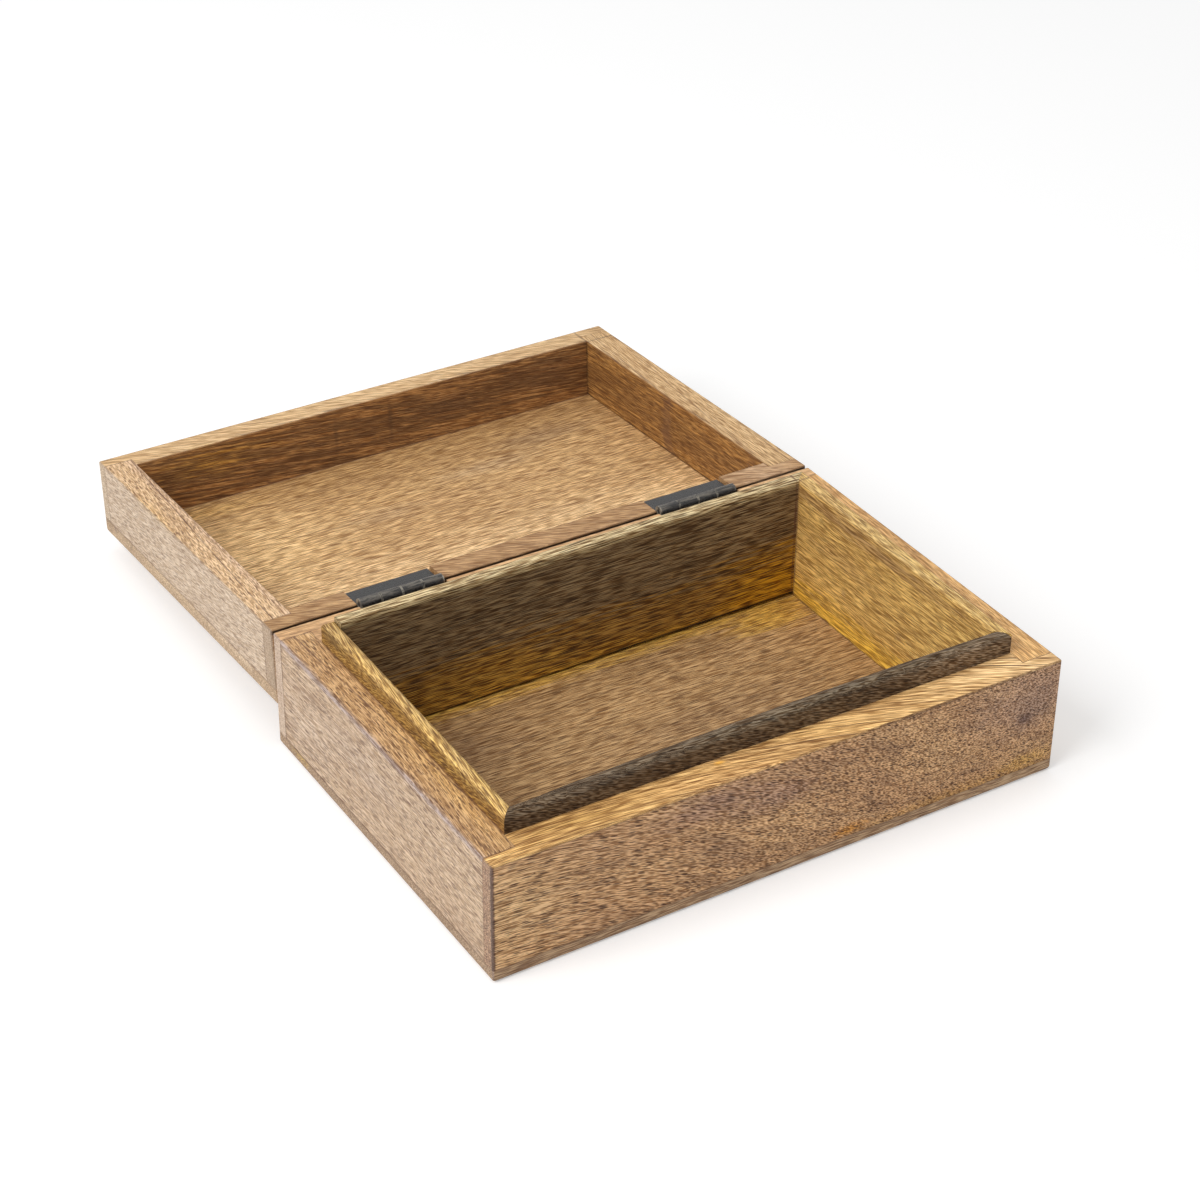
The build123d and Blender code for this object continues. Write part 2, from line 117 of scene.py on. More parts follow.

# The boards, in mm: those of the base in the box's axes, those of the lid in axes about the pin.
# Faces are side, tint, and perhaps the colour of a painted sheen and its strength. Patches are centre, reach, tint,
# strength, raggedness, softness. Lines are facing, a point, width, wobble, tint, strength, gaps.
BOARDS = {
    "base_front_wall": dict(
        seed=1.3, wood="front",
        faces=[("+z", (1.5, 1.57, 1.27)), ("-x", (0.64, 0.63, 0.79), PAINTED_SHEEN, 0.15)],
        patches=[
            ((-87, -59.4, 20), (34, 6, 24), (0.84, 0.54, 0.24), 0.4, 0.3, 1),
            ((-22, -59.4, 31), (26, 3, 8), (0.33, 0.18, 0.125), 0.65, 0.5, 1),
            ((-4, -59.4, 26), (19, 3, 7), (0.33, 0.18, 0.125), 0.65, 0.5, 1),
            ((80, -59.4, 28), (34, 4, 18), (0.5, 0.31, 0.22), 0.55, 0.25, 1),
            ((58, -59.4, 3), (54, 4, 6), (0.55, 0.28, 0.07), 0.7, 0.5, 0.9),
            ((20, -59.4, 6), (8, 3, 2.4), (0.66, 0.27, 0.03), 0.8, 0.5, 0.9),
            ((78, -59.4, 7), (12, 3, 3.4), (0.62, 0.33, 0.07), 0.7, 0.6, 0.9),
            ((79, -59.4, 24), (11, 4, 9), (0.27, 0.16, 0.11), 0.6, 0.25, 1),
            ((76.4, -59.4, 21), (4.2, 3, 3), KNOT_AND_SHADE, 0.9, 0.2, 1),
            ((61, -59.4, 23.4), (1.9, 3, 1.4), UMBER, 0.6, 0.2, 1),
            ((-17, -51.5, 36.2), (2.6, 1.2, 1), ORANGE, 0.8, 0.4, 0.9),
            ((-60, -54, 36.2), (40, 9, 1.2), (0.36, 0.185, 0.057), 0.7, 0.3, 1),
            ((75, -54, 36.2), (55, 9, 1.2), (0.82, 0.54, 0.33), 0.7, 0.3, 1),
            ((-87.5, -59.45, 20), (1, 1.1, ALL), (0.1, 0.04, 0.03), 0.85, 0.35, 0.6),
            ((50, -59.45, 36.2), (42, 0.6, 0.8), LINE, 0.8, 0.5, 0.6),
            ((0, -54, 37.2), (ALL, ALL, 1.25), (0.24, 0.11, 0.04), 0.75, 1.2, 0.5),
        ],
        lines=[
            ((0.56, 0.83, 0.4), (33, -53, 36.2), 0.2, 0.3, LINE, 0.35, 0.5),
            ((0.56, 0.83, 0.4), (50, -53, 36.2), 0.22, 0.3, LINE, 0.4, 0.5),
        ],
        slope=(0, 0.28, 0.38), curve=(0, 1.6, 0.15), twist=(0, 0, -14), flat=(("+z", 1), ("-y", 0.3)), bands=0.55,
        fibre=0.45, pore_length=3.8, pore_width=0.54, pores=1.1, pore_depth=1, fleck=0.5, growth=0.15,
        growth_spacing=1.5, growth_turn=(0, 0.75, 0.65), calm=("+z", 0.2, 0.9), edge_dark=0.3,
    ),
    "base_back_wall": dict(
        seed=2.9, wood="gold",
        faces=[("-x", (0.75, 0.95, 1.8), PAINTED_SHEEN, 0.25), ("+z", (0.9, 0.88, 0.95), PAINTED_SHEEN, 0.15)],
        # A near-black strip along the top of the back face: painted shade in the gap between base and lid
        patches=[((0, 59.5, 35.2), (ALL, 0.6, 0.7), SEAM_AND_SHADE, 0.9, 0.15, 0.4)],
        slope=(0, 0.1, 0), pores=0.7, pore_depth=0.5,
    ),
    "base_left_wall": dict(
        seed=4.1, wood="side", grain="Y",
        faces=[("-x", (0.94, 1.1, 1.52), PAINTED_SHEEN, 0.18)],
        patches=[
            ((-87.5, 0, 36.2), (1.6, ALL, 2), (0.48, 0.34, 0.26), 0.6, 0.5, 0.8),
            ((-80, -20, 36.2), (4, 50, 2), HONEY, 0.35, 0.6, 0.9),
            ((-87.5, 40, 16), (2, 26, 14), (0.8, 0.54, 0.3), 0.4, 0.4, 1),
            ((-87.5, 10, 24), (2, 30, 8), (0.5, 0.33, 0.19), 0.4, 0.6, 1),
        ],
        lines=[
            ((1, 0.06, 0), (-80.2, 0, 0), 0.34, 0.5, LINE, 0.8, 0.5),
            ((1, 0.049, -0.5), (-87.3, -4, 36.2), 0.3, 0.4, LINE, 0.7, 0.4),
            (Y, (0, 55.15, 0), 0.5, 0.1, LINE, 0.75, 0.2),
            (Y, (0, -55.15, 0), 0.35, 0.1, LINE, 0.6, 0.2),
            (Z, (0, 0, 4), 0.5, 0.15, LINE, 0.7, 0.3),
            ((0, 0.02, 1), (0, 0, 28.4), 0.3, 1.2, LINE, 0.4, 0.8),
            ((0, 0.12, 1), (0, 0, 17), 0.28, 1.5, LINE, 0.35, 0.8),
            ((0, 0.08, 1), (0, 0, 12), 0.25, 1.2, LINE, 0.3, 0.9),
        ],
        slope=(0, 0.04, 0), curve=(0, -0.5, 0.4), bands=0.4, band_width=1.3, pore_length=3.8,
        pore_width=0.6, pores=1, pore_depth=0.95, fleck=0.8, growth=0.35, growth_spacing=2.5, edge_dark=0.4,
    ),
    "base_right_wall": dict(
        seed=5.7, wood="gold", grain="Y",
        faces=[("+x", (0.95, 0.95, 1), PAINTED_SHEEN, 0.1)],
        lines=[
            (Y, (0, 55.15, 0), 0.4, 0.1, LINE, 0.6, 0.2),
            (Y, (0, -55.15, 0), 0.4, 0.1, LINE, 0.6, 0.2),
        ],
        slope=(0, 0.03, 0), pore_length=4.2, pore_width=0.55, pores=0.7, pore_depth=0.55, fleck=0.45,
        growth=0.25,
    ),
    "bottom_board": dict(
        seed=6.6, wood="bottom",
        faces=[("-x", (0.82, 0.9, 1.2), PAINTED_SHEEN, 0.2), ("-y", (0.95, 1.03, 1.25), MAUVE, 0.15)],
        patches=[
            ((0, 46, 4), (ALL, 8, 3), (0.66, 0.36, 0.045), 0.8, 0.7, 0.9),
            ((62, 38, 4), (22, 9, 3), (0.7, 0.39, 0.06), 0.85, 0.7, 0.9),
            ((-50, 25, 4), (30, 16, 3), (0.28, 0.155, 0.075), 0.55, 1, 1),
            ((20, 5, 4), (50, 12, 3), (0.26, 0.145, 0.07), 0.45, 1.2, 1),
            ((-30, -20, 4), (60, 12, 3), (0.56, 0.33, 0.15), 0.4, 1.2, 1),
        ],
        slope=(0, 0.03, 0.02), wander=0.9, bands=0.42, band_width=1.5, fibre=0.43, pore_length=6, pore_width=0.4,
        pores=0.95, pore_depth=0.8, fleck=0.55, growth=0.3, growth_spacing=3,
    ),
    "lining_front": dict(
        seed=7.7, wood="dark",
        patches=[
            ((0, -49.6, 43.4), (ALL, 3, 2.2), (0.2, 0.155, 0.1), 0.6, 0.5, 1),
            ((62, -49.6, 40), (30, 3, 6), (0.31, 0.205, 0.12), 0.62, 0.7, 0.9),
            ((-50, -49.6, 42), (24, 3, 4), (0.16, 0.115, 0.075), 0.4, 0.7, 1),
        ],
        slope=(0, 0.1, 0.3), flat=(("+z", 1),), skin=1.2, band_width=1.2, fibre=0.55, pore_length=4.4,
        pore_width=0.6, pores=0.9, pore_depth=0.85, fleck=0.6, gloss=0.15,
    ),
    "lining_back": dict(
        seed=8.2, wood="smoke",
        patches=[
            ((0, 46, 3), (ALL, ALL, 20), AMBER, 0.7, 0.8, 0.35),
            ((75, 46, 8), (34, ALL, 21), (0.52, 0.25, 0.009), 0.75, 0.8, 0.6),
            ((-35, 46, 8), (46, ALL, 13), (0.52, 0.27, 0.035), 0.55, 1, 0.8),
            ((10, 46, 4), (60, ALL, 6), (0.55, 0.28, 0.03), 0.6, 1, 0.8),
            # A near-black strip along the foot of the board: painted shade in the gap under it
            ((75, 44.4, 4), (130, 1.5, 1.9), SEAM_AND_SHADE, 1, 0.1, 0.35),
            ((0, 46, 43.6), (ALL, ALL, 2.4), CREAM, 0.85, 0.8, 0.4),
            ((0, 46, 42), (ALL, ALL, 1.4), (0.3, 0.22, 0.1), 0.35, 0.7, 0.9),
        ],
        lines=[
            (X, (72.9, 0, 0), 0.5, 0.1, LINE, 0.8, 0.5),
            # A near-black line along the foot of the board: painted shade in the gap under it
            (Z, (0, 0, 4.3), 0.5, 0.1, SEAM_AND_SHADE, 0.9, 0),
        ],
        slope=(0, 0, 0.01), wander=0.9, bands=0.42, band_width=1, fibre=0.58, pore_length=8, pore_width=0.38,
        pores=0.95, pore_depth=0.9, fleck=0.6, growth=0.4, growth_spacing=3, gloss=0.25,
    ),
    "lining_left": dict(
        seed=9.4, wood="olive", grain="Y",
        faces=[("-x", (0.54, 0.49, 0.4))],
        patches=[
            ((-78, 42, 41), (6, 9, 3.4), (0.28, 0.18, 0.07), 0.7, 0.4, 0.9),
            ((-78, -46, 38), (6, 10, 6), (0.5, 0.25, 0.07), 0.6, 0.5, 0.9),
            ((-76, 0, 43.4), (ALL, ALL, 2.6), (0.56, 0.35, 0.13), 0.55, 1.2, 0.7),
        ],
        lines=[(Z, (0, 0, 36.5), 0.5, 0.2, LINE, 0.7, 0.2)],
        slope=(0, 0.1, 0.3), flat=(("+z", 1),), skin=3, bands=0.7, band_width=1.5, fibre=0.45, pore_length=6.5,
        pore_width=0.65, pores=1, pore_depth=0.9, fleck=0.6, growth=0.3,
    ),
    "lining_right": dict(
        seed=10.8, wood="olive", grain="Y",
        patches=[
            ((75, 0, 3), (ALL, ALL, 11), (0.84, 0.49, 0.052), 0.8, 0.6, 0.7),
            ((75, 10, 40), (ALL, 60, 4), (0.34, 0.19, 0.09), 0.65, 0.9, 0.9),
            ((75, 20, 28), (ALL, 30, 5), (0.42, 0.25, 0.11), 0.35, 0.7, 1),
            ((73, 20, 18), (3, 2, 1.4), UMBER, 0.5, 0.3, 1),
            ((73, -6.6, 18), (3, 2.8, 1.6), UMBER, 0.45, 0.3, 1),
            ((73, -20.5, 30.6), (3, 2, 1.4), UMBER, 0.4, 0.3, 1),
            ((75, 0, 43.4), (ALL, ALL, 1.4), (0.68, 0.45, 0.17), 0.6, 0.6, 0.7),
        ],
        lines=[
            (Z, (0, 0, 4.3), 0.5, 0.3, LINE, 0.8, 0.5),
            (Y, (0, 44.4, 0), 0.7, 0.2, LINE, 0.7, 0.3),
        ],
        slope=(0, 0, 0.01), wander=0.9, bands=0.36, band_width=1.4, fibre=0.38, pore_length=5.5, pore_width=0.38,
        pores=0.95, fleck=0.55, growth=0.25,
    ),
    "lid_front_wall": dict(
        seed=12.1, wood="lid",
        faces=[("-y", (0.58, 0.44, 0.3)), ("-x", (0.85, 1, 1.35), PAINTED_SHEEN, 0.3)],
        patches=[
            ((6, 110.4, -9), (1.4, 2, 10), (0.22, 0.15, 0.11), 0.75, 0.15, 1),
            ((-13, 110.4, -9), (1.2, 2, 8), (0.22, 0.15, 0.11), 0.65, 0.2, 1),
            ((26, 110.4, -9), (16, 2, 5), (0.34, 0.22, 0.13), 0.7, 0.9, 0.8),
            ((-55, 110.4, -6), (24, 2, 7), (0.95, 0.62, 0.14), 0.65, 0.8, 0.9),
            ((-30, 110.4, -14), (26, 2, 4), (0.45, 0.3, 0.18), 0.5, 0.9, 0.9),
            ((60, 110.4, -8), (20, 2, 9), (0.52, 0.36, 0.24), 0.5, 0.8, 1),
            ((0, 110.4, -9.5), (ALL, 1.5, 10), (0.22, 0.14, 0.08), 0.75, 2.6, 0.8),
        ],
        lines=[
            (X, (77.9, 0, 0), 0.5, 0.1, SEAM_AND_SHADE, 0.7, 0.4),
            (Z, (0, 0, -18.8), 0.3, 0.2, LINE, 0.6, 0.5),
        ],
        slope=(0, 0.34, 0.1), flat=(("+z", 1), ("+y", 1), ("-y", 1)), bands=0.5, band_width=1.6, fibre=0.35,
        pore_length=4.6, pore_width=0.5, pores=0.9, fleck=0.5, growth=0.35, growth_spacing=2.2,
        growth_turn=(0, 1, 0.2), calm=("+z", 0.4, 0.6),
    ),
    "lid_back_wall": dict(
        seed=13.3, wood="rose",
        faces=[("-x", (0.85, 1.05, 1.5), PAINTED_SHEEN, 0.35)],
        patches=[
            # A near-black strip along the top of the back face: painted shade in the gap between lid and base
            ((0, 0.6, -1), (ALL, 0.6, 0.8), SEAM_AND_SHADE, 0.95, 0.15, 0.4),
            ((74, 3, 0), (16, ALL, 2), (0.7, 0.46, 0.28), 0.4, 0.5, 1),
        ],
        slope=(0, 0.45, 0.1), flat=(("+z", 1), ("+y", 1), ("-y", 1)), bands=0.5, fibre=0.4, pore_length=3.6,
        pore_width=0.5, pore_depth=0.55, fleck=0.5, growth=0.1, growth_spacing=2.5,
        calm=("+z", 0.8, 0.5),
    ),
    "lid_left_wall": dict(
        seed=14.2, wood="pale", grain="Y",
        faces=[("-x", (0.88, 1.02, 1.3), PAINTED_SHEEN, 0.25)],
        patches=[
            ((-79.5, 60, -0.1), (2.4, ALL, 1.5), (0.64, 0.42, 0.27), 0.5, 0.4, 0.7),
            ((-87.5, 80, -0.1), (3, 30, 1.5), HONEY, 0.3, 0.6, 0.9),
        ],
        lines=[
            ((1, -0.048, 0), (-84.7, 0, 0), 0.3, 0.4, LINE, 0.85, 0.4),
            ((1, -0.02, 0), (-80.6, 0, 0), 0.22, 0.4, LINE, 0.55, 0.7),
            (Y, (0, 6.05, 0), 0.5, 0.1, LINE, 0.6, 0.3),
            (Y, (0, 114.6, 0), 0.5, 0.1, LINE, 0.5, 0.3),
            (Z, (0, 0, -18.9), 0.4, 0.15, LINE, 0.5, 0.4),
            ((0, 0.03, 1), (0, 0, -9), 0.3, 1.2, LINE, 0.25, 0.8),
        ],
        slope=(0, 0.06, 0.08), bands=0.36, band_width=2.2, fibre=0.28, pore_length=3.4, pore_width=0.58, pores=1,
        pore_depth=0.8, fleck=0.65,
    ),
    "lid_right_wall": dict(
        seed=15.9, wood="lid", grain="Y",
        faces=[("+z", (0.84, 0.8, 0.74)), ("-x", (0.555, 0.415, 0.23))],
        patches=[
            ((77.9, 60, -9.5), (1.5, ALL, 10), (0.3, 0.18, 0.1), 0.65, 2.4, 0.8),
            ((77.9, 40, -13), (1.5, 40, 3), (0.5, 0.32, 0.17), 0.6, 0.8, 0.9),
        ],
        lines=[
            (Z, (0, 0, -18.7), 0.45, 0.2, SEAM_AND_SHADE, 0.75, 0.3),
            (Y, (0, 110.1, 0), 0.45, 0.1, SEAM_AND_SHADE, 0.6, 0.3),
            ((1, -0.07, 0), (81, 105, 0), 0.26, 0.6, LINE, 0.65, 0.4),
            ((1, -0.1, 0), (84.5, 80, 0), 0.22, 0.8, LINE, 0.5, 0.5),
        ],
        slope=(0, 0.03, 0.02), bands=0.4, band_width=1.6, fibre=0.34, pore_length=5, pore_width=0.5, pores=0.85,
        fleck=0.5, growth=0.3, growth_spacing=2.5, calm=("+z", 0.4, 0.5),
    ),
    "lid_panel_strip": dict(seed=16.4, wood="panel", **PANEL_LOOKS),
    "lid_panel_board": dict(
        seed=17.2, wood="panel",
        patches=[
            ((0, 112, -19), (ALL, 36, 3), (0.38, 0.205, 0.07), 0.65, 0.4, 1),
            ((50, 93, -19), (26, 8, 3), (0.36, 0.22, 0.11), 0.6, 0.5, 1),
            ((25, 84, -19), (30, 7, 3), (0.42, 0.27, 0.15), 0.5, 0.5, 1),
            ((-18, 74, -19), (24, 7, 3), (0.46, 0.3, 0.16), 0.4, 0.5, 1),
            ((-60, 104, -19), (26, 6, 3), HONEY, 0.5, 0.5, 1),
            ((-70, 70, -19), (60, 50, 3), (0.98, 0.65, 0.3), 0.7, 0.4, 1),
            ((0, 22, -19), (ALL, 40, 3), (0.98, 0.66, 0.34), 0.85, 0.4, 1),
            # A dark line along the foot of the far wall: painted shade in the corner
            ((0, 111, -19), (ALL, 1.4, 3), KNOT_AND_SHADE, 0.8, 0.3, 1),
        ],
        **PANEL_LOOKS,
    ),
}


def add(tree, kind, values=None, **settings):
    """Adds a node; each value is a constant for that input or the socket that feeds it."""
    node = tree.nodes.new(kind)
    for key, value in settings.items():
        setattr(node, key, value)
    for key, value in (values or {}).items():
        feed(tree, node.inputs[key], value)
    return node


def feed(tree, socket, value):
    """Links a socket to the one that feeds it, or gives it a constant."""
    if isinstance(value, bpy.types.NodeSocket):
        tree.links.new(value, socket)
    else:
        socket.default_value = value


def calc(tree, operation, a, b=0.0, c=0.0, clamp=False):
    node = add(tree, "ShaderNodeMath", {0: a, 1: b, 2: c}, operation=operation, use_clamp=clamp)
    return node.outputs[0]


def times(tree, *factors):
    """The product of its factors."""
    total = factors[0]
    for factor in factors[1:]:
        total = calc(tree, "MULTIPLY", total, factor)
    return total


def vec(tree, operation, a, b=(0.0, 0.0, 0.0)):
    node = add(tree, "ShaderNodeVectorMath", {0: a, 1: b}, operation=operation)
    return node.outputs["Vector"]


def scaled(tree, vector, factor):
    return add(tree, "ShaderNodeVectorMath", {0: vector, 3: factor}, operation="SCALE").outputs[0]


def dot(tree, a, b):
    return add(tree, "ShaderNodeVectorMath", {0: a, 1: b}, operation="DOT_PRODUCT").outputs["Value"]


def split(tree, vector):
    return add(tree, "ShaderNodeSeparateXYZ", {0: vector}).outputs


def joined(tree, x, y, z):
    return add(tree, "ShaderNodeCombineXYZ", {0: x, 1: y, 2: z}).outputs[0]


def ramp(tree, value, low, high, to_low=0.0, to_high=1.0):
    """A soft step of value from low to high."""
    values = {"Value": value, "From Min": low, "From Max": high, "To Min": to_low, "To Max": to_high}
    return add(tree, "ShaderNodeMapRange", values, interpolation_type="SMOOTHSTEP").outputs[0]


def blend_colors(tree, factor, a, b, how="MIX"):
    node = add(tree, "ShaderNodeMix", data_type="RGBA", blend_type=how)
    for index, value in ((0, factor), (6, a), (7, b)):
        feed(tree, node.inputs[index], value)
    return node.outputs[2]


def noise(tree, vector, fineness, detail=2.0, rough=0.5, color=False):
    """Noise with its own fineness along each axis, in cells per metre."""
    values = {"Vector": vec(tree, "MULTIPLY", vector, fineness), "Scale": 1.0, "Detail": detail, "Roughness": rough}
    node = add(tree, "ShaderNodeTexNoise", values)
    return node.outputs["Color" if color else "Fac"]


def shifted(tree, vector, seed):
    """The vector moved by the seed, so that no two boards are cut from the same wood."""
    return vec(tree, "ADD", vector, joined(tree, seed, seed, seed))


def new_group(name, vectors=(), numbers=(), colors=(), gives=("Mask",)):
    """An empty node group and its two end nodes. Each group takes a vector called Vector, and gives
    numbers, apart from what is called Vector or Color."""
    tree = bpy.data.node_groups.new(name, "ShaderNodeTree")
    for kind, titles in (("Vector", ("Vector", *vectors)), ("Float", numbers), ("Color", colors)):
        for title in titles:
            tree.interface.new_socket(title, in_out="INPUT", socket_type="NodeSocket" + kind)
    for title in gives:
        kind = title if title in ("Vector", "Color") else "Float"
        tree.interface.new_socket(title, in_out="OUTPUT", socket_type="NodeSocket" + kind)
    return tree, tree.nodes.new("NodeGroupInput").outputs, tree.nodes.new("NodeGroupOutput").inputs


def use(tree, name, **values):
    """Places a node group; its inputs are given by name with _ for spaces."""
    node = tree.nodes.new("ShaderNodeGroup")
    node.node_tree = bpy.data.node_groups[name]
    for key, value in values.items():
        feed(tree, node.inputs[key.replace("_", " ")], value)
    return node.outputs


def hand_out(tree, end, **results):
    for title, result in results.items():
        tree.links.new(result, end[title])


def make_fibre_bend():
    """Bends board coordinates so that X follows fibres which dive across the board."""
    tree, start, end = new_group(
        "Fibre Bend", vectors=["Slope", "Curve", "Twist"], numbers=["Wander", "Seed"], gives=["Vector"],
    )
    x = split(tree, start["Vector"])["X"]
    squared = times(tree, x, x)
    bent = start["Vector"]
    for way, factor in (("Slope", x), ("Curve", squared), ("Twist", times(tree, squared, x))):
        bent = vec(tree, "ADD", bent, scaled(tree, start[way], factor))
    # The slow wander of the fibres runs from -1 to 1 across them, and doesn't act along them
    swirl = noise(tree, shifted(tree, start["Vector"], start["Seed"]), SWIRLS, color=True)
    across = vec(tree, "MULTIPLY", vec(tree, "SUBTRACT", swirl, (0.5, 0.5, 0.5)), (0, 2, 2))
    bent = vec(tree, "ADD", bent, scaled(tree, across, start["Wander"]))
    hand_out(tree, end, Vector=bent)


def make_wood_tone():
    """The slow colour of a board: clouds between two tones, and darker bands along the fibres."""
    tree, start, end = new_group(
        "Wood Tone", numbers=["Seed", "Clouds", "Bands", "Band Width"], colors=["Light", "Warm", "Dark"],
        gives=["Color"],
    )
    moved = shifted(tree, start["Vector"], start["Seed"])
    cloud = ramp(tree, noise(tree, moved, CLOUDS, detail=3.0, rough=0.6), 0.3, 0.7)
    tone = blend_colors(tree, times(tree, cloud, start["Clouds"]), start["Light"], start["Warm"])
    # A band is 20 times as long as it is wide
    fine = calc(tree, "DIVIDE", 1.0, start["Band Width"])
    fineness = joined(tree, times(tree, fine, 0.05), fine, fine)
    band = ramp(tree, noise(tree, moved, fineness, detail=5.0, rough=0.65), 0.42, 0.68)
    hand_out(tree, end, Color=blend_colors(tree, times(tree, band, start["Bands"]), tone, start["Dark"]))


def pore_layer(tree, moved, length, width, share, crowd):
    """Long thin cells, some of them open; gives the cells' darkness from 0 to 1."""
    place = vec(tree, "DIVIDE", moved, joined(tree, length, width, width))
    spots = add(tree, "ShaderNodeTexVoronoi", {"Vector": place, "Scale": 1.0}, voronoi_dimensions="3D")
    chance = add(tree, "ShaderNodeSeparateColor", {0: spots.outputs["Color"]}).outputs
    there = calc(tree, "LESS_THAN", chance[0], times(tree, share, crowd))
    # An open cell reaches over 0.34 to 0.56 of its place, and is 0.4 to 1 dark
    reach = calc(tree, "MULTIPLY_ADD", chance[1], 0.22, 0.34)
    hollow = ramp(tree, calc(tree, "DIVIDE", spots.outputs["Distance"], reach), 1.0, 0.5)
    deep = calc(tree, "MULTIPLY_ADD", chance[2], 0.6, 0.4)
    return times(tree, hollow, there, deep)


def make_wood_pores():
    """The fine surface of a board: fibre lines, thin growth lines and open pores."""
    tree, start, end = new_group(
        "Wood Pores", vectors=["Growth Turn"], colors=["Color", "Pore Color"],
        numbers=[
            "Seed", "Pore Length", "Pore Width", "Pores", "Pore Depth", "Fibre", "Fleck", "Growth Lines",
            "Growth Spacing",
        ],
        gives=["Color", "Height", "Roughness"],
    )
    pore_color = start["Pore Color"]
    moved = shifted(tree, start["Vector"], start["Seed"])
    # Fibre lines, fine and wide
    fine = ramp(tree, noise(tree, moved, FINE_FIBRES, detail=0.0), 0.34, 0.66)
    wide = ramp(tree, noise(tree, moved, WIDE_FIBRES, detail=1.0), 0.34, 0.66)
    lines = calc(tree, "MULTIPLY_ADD", fine, FINE_SHARE, times(tree, wide, WIDE_SHARE))
    offset = calc(tree, "SUBTRACT", 0.5, lines)
    level = calc(tree, "MULTIPLY_ADD", offset, times(tree, start["Fibre"], FIBRE_CONTRAST), 1.0)
    level = calc(tree, "MAXIMUM", level, DARKEST_FIBRE)
    channels = dict(enumerate(calc(tree, "POWER", level, contrast) for contrast in CHANNEL_CONTRASTS))
    shade = add(tree, "ShaderNodeCombineColor", channels).outputs[0]
    color = blend_colors(tree, 1.0, start["Color"], shade, "MULTIPLY")
    # Growth lines: thin darker layers across the fibres, pushed about by slow noise
    across = dot(tree, moved, start["Growth Turn"])
    wave = noise(tree, moved, LAYER_WAVES)
    layer = calc(tree, "MULTIPLY_ADD", wave, 3.0, calc(tree, "DIVIDE", across, start["Growth Spacing"]))
    thin = ramp(tree, calc(tree, "PINGPONG", layer, 1.0), 0.13, 0.02)
    patchy = ramp(tree, noise(tree, moved, LAYER_BREAKS, detail=1.0), 0.38, 0.62)
    color = blend_colors(tree, times(tree, thin, patchy, start["Growth Lines"]), color, pore_color)
    # Pores and, between them, flecks half as long and 0.7 as wide
    crowd = ramp(tree, noise(tree, moved, PORE_CROWDS, detail=3.0), 0.34, 0.6, 0.7, 1.3)
    beside = vec(tree, "ADD", moved, (0.3, 0.7, 0.1))
    fleck_length, fleck_width = times(tree, start["Pore Length"], 0.5), times(tree, start["Pore Width"], 0.7)
    small = pore_layer(tree, beside, fleck_length, fleck_width, 0.8, 1.0)
    color = blend_colors(tree, times(tree, small, start["Fleck"]), color, pore_color)
    large = pore_layer(tree, moved, start["Pore Length"], start["Pore Width"], start["Pores"], crowd)
    color = blend_colors(tree, times(tree, large, start["Pore Depth"]), color, pore_color)
    # Pores are hollow and rough, and fibres stand up a little
    height = calc(tree, "MULTIPLY_ADD", large, -0.8, times(tree, lines, 0.35))
    rough = calc(tree, "MULTIPLY_ADD", large, 0.2, calc(tree, "MULTIPLY_ADD", lines, 0.2, 0.42))
    hand_out(tree, end, Color=color, Height=height, Roughness=rough)


def make_stain_and_shade_patch():
    """A soft patch round a point of the box, ragged along the fibres."""
    tree, start, end = new_group(
        "Stain And Shade Patch", vectors=["Fibres", "Centre", "Reach"], numbers=["Ragged", "Soft", "Seed"],
    )
    offset = vec(tree, "DIVIDE", vec(tree, "SUBTRACT", start["Vector"], start["Centre"]), start["Reach"])
    away = add(tree, "ShaderNodeVectorMath", {0: offset}, operation="LENGTH").outputs["Value"]
    moved = shifted(tree, start["Fibres"], start["Seed"])
    edge = calc(tree, "SUBTRACT", noise(tree, moved, TORN_EDGES, detail=3.0, rough=0.6), 0.5)
    torn = calc(tree, "MULTIPLY_ADD", edge, times(tree, start["Ragged"], 2.4), away)
    hand_out(tree, end, Mask=ramp(tree, torn, 1.0, calc(tree, "SUBTRACT", 1.0, start["Soft"])))


def make_dark_line():
    """One thin dark line through a board, given by its plane, that wobbles and breaks off; it draws layers of the
    grain, seams and painted shade.
    """
    tree, start, end = new_group(
        "Dark Line", vectors=["Facing"], numbers=["Offset", "Width", "Wobble", "Broken", "Seed"],
    )
    moved = shifted(tree, start["Vector"], start["Seed"])
    sway = calc(tree, "SUBTRACT", noise(tree, moved, LINE_SWAYS, detail=3.0), 0.5)
    there = calc(tree, "SUBTRACT", dot(tree, start["Vector"], start["Facing"]), start["Offset"])
    away = calc(tree, "MULTIPLY_ADD", sway, times(tree, start["Wobble"], 2.0), there)
    swell = ramp(tree, noise(tree, moved, LINE_SWELLS), 0.3, 0.7, 0.6, 1.4)
    share = calc(tree, "DIVIDE", calc(tree, "ABSOLUTE", away), times(tree, start["Width"], swell))
    line = ramp(tree, share, 1.0, 0.3)
    gap = times(tree, ramp(tree, noise(tree, moved, LINE_BREAKS), 0.42, 0.56), start["Broken"])
    hand_out(tree, end, Mask=times(tree, line, calc(tree, "SUBTRACT", 1.0, gap)))


def make_board_edge():
    """The arrises of a board, from its half size, broken up by noise."""
    tree, start, end = new_group("Board Edge", vectors=["Half Size"], numbers=["Width"])
    depth = vec(tree, "SUBTRACT", start["Half Size"], vec(tree, "ABSOLUTE", start["Vector"]))
    chips = noise(tree, start["Vector"], EDGE_CHIPS, detail=3.0)
    width = times(tree, start["Width"], calc(tree, "MULTIPLY_ADD", chips, 2.4, -0.2))
    near = [ramp(tree, calc(tree, "DIVIDE", part, width), 1.0, 0.0) for part in split(tree, depth)]
    pairs = [times(tree, near[a], near[b]) for a, b in ((0, 1), (1, 2), (0, 2))]
    hand_out(tree, end, Mask=calc(tree, "ADD", calc(tree, "ADD", pairs[0], pairs[1]), pairs[2], clamp=True))


